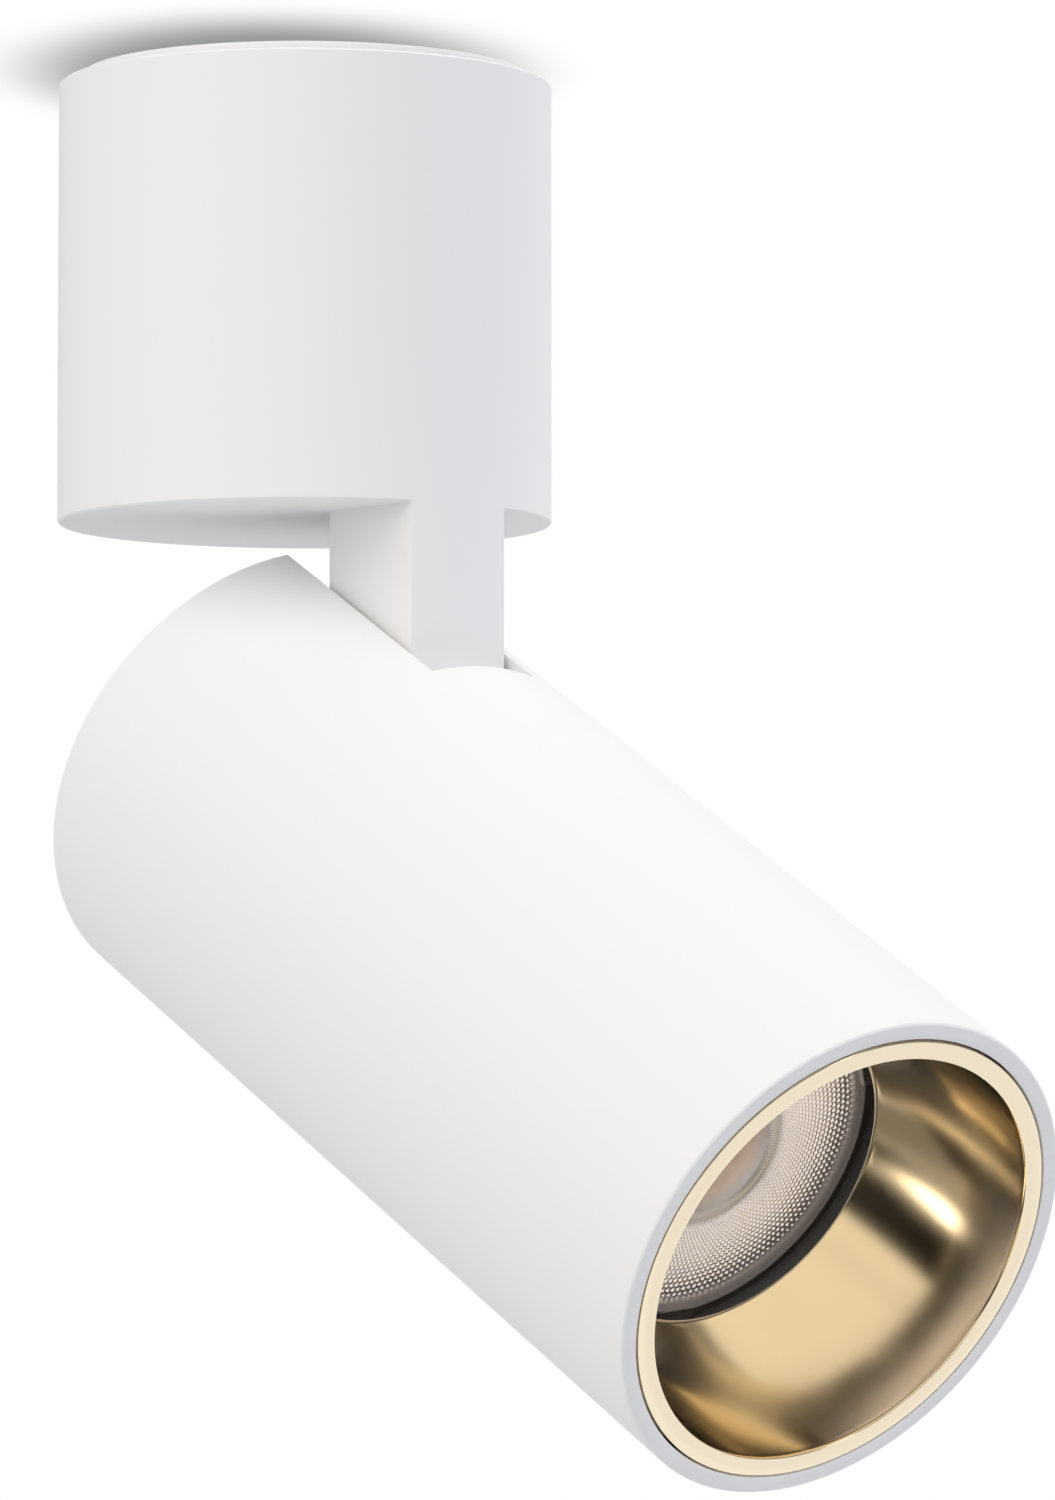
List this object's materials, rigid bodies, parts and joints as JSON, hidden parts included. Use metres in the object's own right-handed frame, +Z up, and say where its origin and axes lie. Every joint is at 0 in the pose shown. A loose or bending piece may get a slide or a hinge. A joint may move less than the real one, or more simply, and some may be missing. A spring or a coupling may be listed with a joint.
{
  "type": "ceiling spotlight",
  "caption": "Surface mounted ceiling spotlight: a round canopy, an offset arm and a tilting tube head with a deep polished baffle.",
  "frame": {"origin": "centre of the ceiling plate's upper face, on the canopy's axis, midway between its two fixing slots", "axes": "+Z up, out of the ceiling plate's upper face; +X the side that the head aims to at rest; the head tilts in the XZ plane"},
  "size_m": [0.176, 0.075, 0.2128],
  "materials": {
    "white_coat": "fine matte white powder coat",
    "zinc_steel": "zinc plated steel",
    "bare_aluminium": "machined, bare",
    "black_rubber": "moulded black rubber",
    "white_plastic": "moulded white plastic",
    "board_green": "green circuit board",
    "component_dark": "dark moulded components",
    "led_white": "white solder mask and frame",
    "phosphor": "yellow phosphor",
    "lens_clear": "clear moulded optic",
    "holder_brown": "dark brown moulded plastic",
    "polished_gold": "polished, gold anodised",
    "lead_sheath": "black lead sheath"
  },
  "bodies": {
    "base": {"ceiling_plate": "white_coat", "swivel_hub": "zinc_steel", "hub_screws": "zinc_steel", "cable_grommet": "black_rubber", "wave_washer": "zinc_steel", "plate_stop": "zinc_steel"},
    "canopy_body": {"canopy": "white_coat", "carrier_ring": "bare_aluminium", "carrier_stop": "zinc_steel", "grub_screws": "zinc_steel", "earth_screw": "zinc_steel", "driver_case": "white_plastic", "driver_screws": "zinc_steel", "driver_lid": "white_plastic", "driver_board": "board_green", "driver_parts": "component_dark", "terminal_block": "white_plastic", "terminal_screws": "zinc_steel", "pivot_tube": "zinc_steel", "pivot_nut": "zinc_steel", "pivot_spring_washer": "zinc_steel", "friction_washers": "white_plastic", "supply_lead": "lead_sheath", "driver_lead": "lead_sheath"},
    "head": {"head_tube": "white_coat", "rear_cap": "white_coat", "cap_screws": "zinc_steel", "pivot_yoke": "white_coat", "yoke_screws": "zinc_steel", "heat_sink": "bare_aluminium", "led_board": "led_white", "led_emitter": "phosphor", "led_frame": "led_white", "board_screws": "zinc_steel", "lens": "lens_clear", "lens_holder": "holder_brown", "lens_clips": "zinc_steel", "holder_screws": "zinc_steel", "baffle": "polished_gold", "baffle_clips": "zinc_steel", "head_lead": "lead_sheath"}
  },
  "joints": [
    {"name": "canopy_swivel", "type": "hinge", "parent": "base", "child": "canopy_body", "pos_m": [0, 0, -0.005], "axis": [0, 0, 1], "range_deg": [-174, 174]},
    {"name": "head_tilt", "type": "hinge", "parent": "canopy_body", "child": "head", "pos_m": [0.0238, 0, -0.0975], "axis": [0, -1, 0], "range_deg": [-60, 30]}
  ]
}
